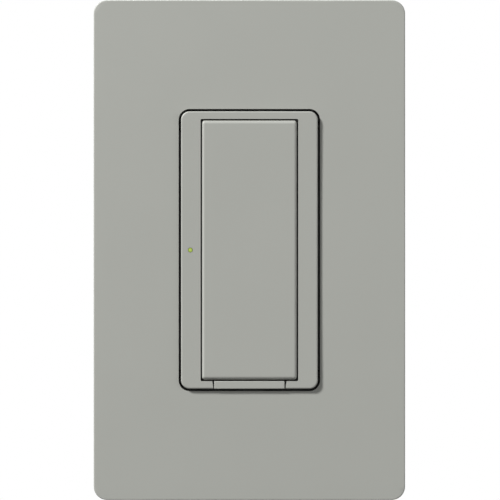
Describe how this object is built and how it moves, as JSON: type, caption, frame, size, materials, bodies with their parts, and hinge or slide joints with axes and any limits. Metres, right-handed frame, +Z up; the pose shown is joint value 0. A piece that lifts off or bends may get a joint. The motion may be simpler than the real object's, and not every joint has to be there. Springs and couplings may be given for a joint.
{
  "type": "wireless wall switch",
  "caption": "Wall-mounted wireless light switch: screwless plate, frame with one large tap paddle, status light, pull-out isolating tab and electronics case behind.",
  "frame": {"origin": "centre of the switch on the wall's surface, in the plane of the wall plate's rear rim", "axes": "+Z up, +X to the right seen from the room, +Y into the wall, so the front faces -Y"},
  "size_m": [0.0742, 0.0388, 0.119],
  "materials": {
    "front_plastic": "fine moulded grain, satin",
    "adapter_plastic": "moulded, satin",
    "yoke_metal": "stamped, lightly brushed",
    "plated_steel": "zinc plated",
    "ground_green": "green plated steel",
    "fibre": "pressed fibre",
    "case_plastic": "black moulded, fine spark texture",
    "light_pipe_clear": "clear, lit yellow-green",
    "insulating_film": "translucent film",
    "circuit_board": "green solder mask",
    "component_black": "moulded epoxy",
    "plunger_plastic": "moulded",
    "led_package": "clear epoxy on white",
    "tinned_can": "tinned, drawn",
    "relay_case": "blue moulded",
    "film_case": "yellow potted box",
    "can_sleeve": "shrunk sleeve on an aluminium can",
    "ferrite": "ground ferrite and tape",
    "varistor_coat": "dipped epoxy",
    "terminal_brass": "plain brass",
    "contact_bronze": "phosphor bronze with silver contacts"
  },
  "bodies": {
    "root": {"wall_plate": "front_plastic", "bezel": "front_plastic", "plate_adapter": "adapter_plastic", "yoke": "yoke_metal", "adapter_screw_upper": "plated_steel", "adapter_screw_lower": "plated_steel", "box_screw_upper": "plated_steel", "box_screw_lower": "plated_steel", "housing_screws": "plated_steel", "terminal_screws": "plated_steel", "ground_screw": "ground_green", "screw_washer_upper": "fibre", "screw_washer_lower": "fibre", "rear_housing": "case_plastic", "light_pipe": "light_pipe_clear", "insulator_sheet": "insulating_film", "control_board": "circuit_board", "power_board": "circuit_board", "tact_switch_body": "component_black", "microcontroller": "component_black", "board_header": "component_black", "rectifier": "component_black", "fuse": "component_black", "status_led": "led_package", "radio_module": "tinned_can", "antenna": "tinned_can", "relay": "relay_case", "film_capacitor": "film_case", "filter_capacitor": "can_sleeve", "transformer": "ferrite", "inductor": "ferrite", "varistor": "varistor_coat", "terminal_line": "terminal_brass", "terminal_load": "terminal_brass", "terminal_neutral": "terminal_brass", "leaf_bracket": "terminal_brass", "airgap_contact": "contact_bronze"},
    "paddle_body": {"paddle": "front_plastic"},
    "plunger_body": {"tact_switch_plunger": "plunger_plastic"},
    "tab_body": {"service_tab": "front_plastic"},
    "leaf_body": {"airgap_leaf": "contact_bronze"}
  },
  "joints": [
    {"name": "paddle_tap", "type": "hinge", "parent": "root", "child": "paddle_body", "pos_m": [0, -0.005, 0.028], "axis": [1, 0, 0], "range_deg": [0, 1.1], "stiffness_Nm_per_rad": 2, "springref_deg": -1.72},
    {"name": "plunger_travel", "type": "slide", "parent": "root", "child": "plunger_body", "axis": [0, 1, 0], "range_m": [0, 0.0005]},
    {"name": "service_tab_pull", "type": "slide", "parent": "root", "child": "tab_body", "axis": [0, -1, 0], "range_m": [0, 0.0025]},
    {"name": "airgap_leaf_lift", "type": "hinge", "parent": "root", "child": "leaf_body", "pos_m": [-0.013, 0.0104, -0.0298], "axis": [0, 0, -1], "range_deg": [0, 7.6]}
  ],
  "couplings": [
    {"joint": "plunger_travel", "follows": "paddle_tap", "m_per_rad": 0.026},
    {"joint": "airgap_leaf_lift", "follows": "service_tab_pull", "rad_per_m": 52.356}
  ]
}
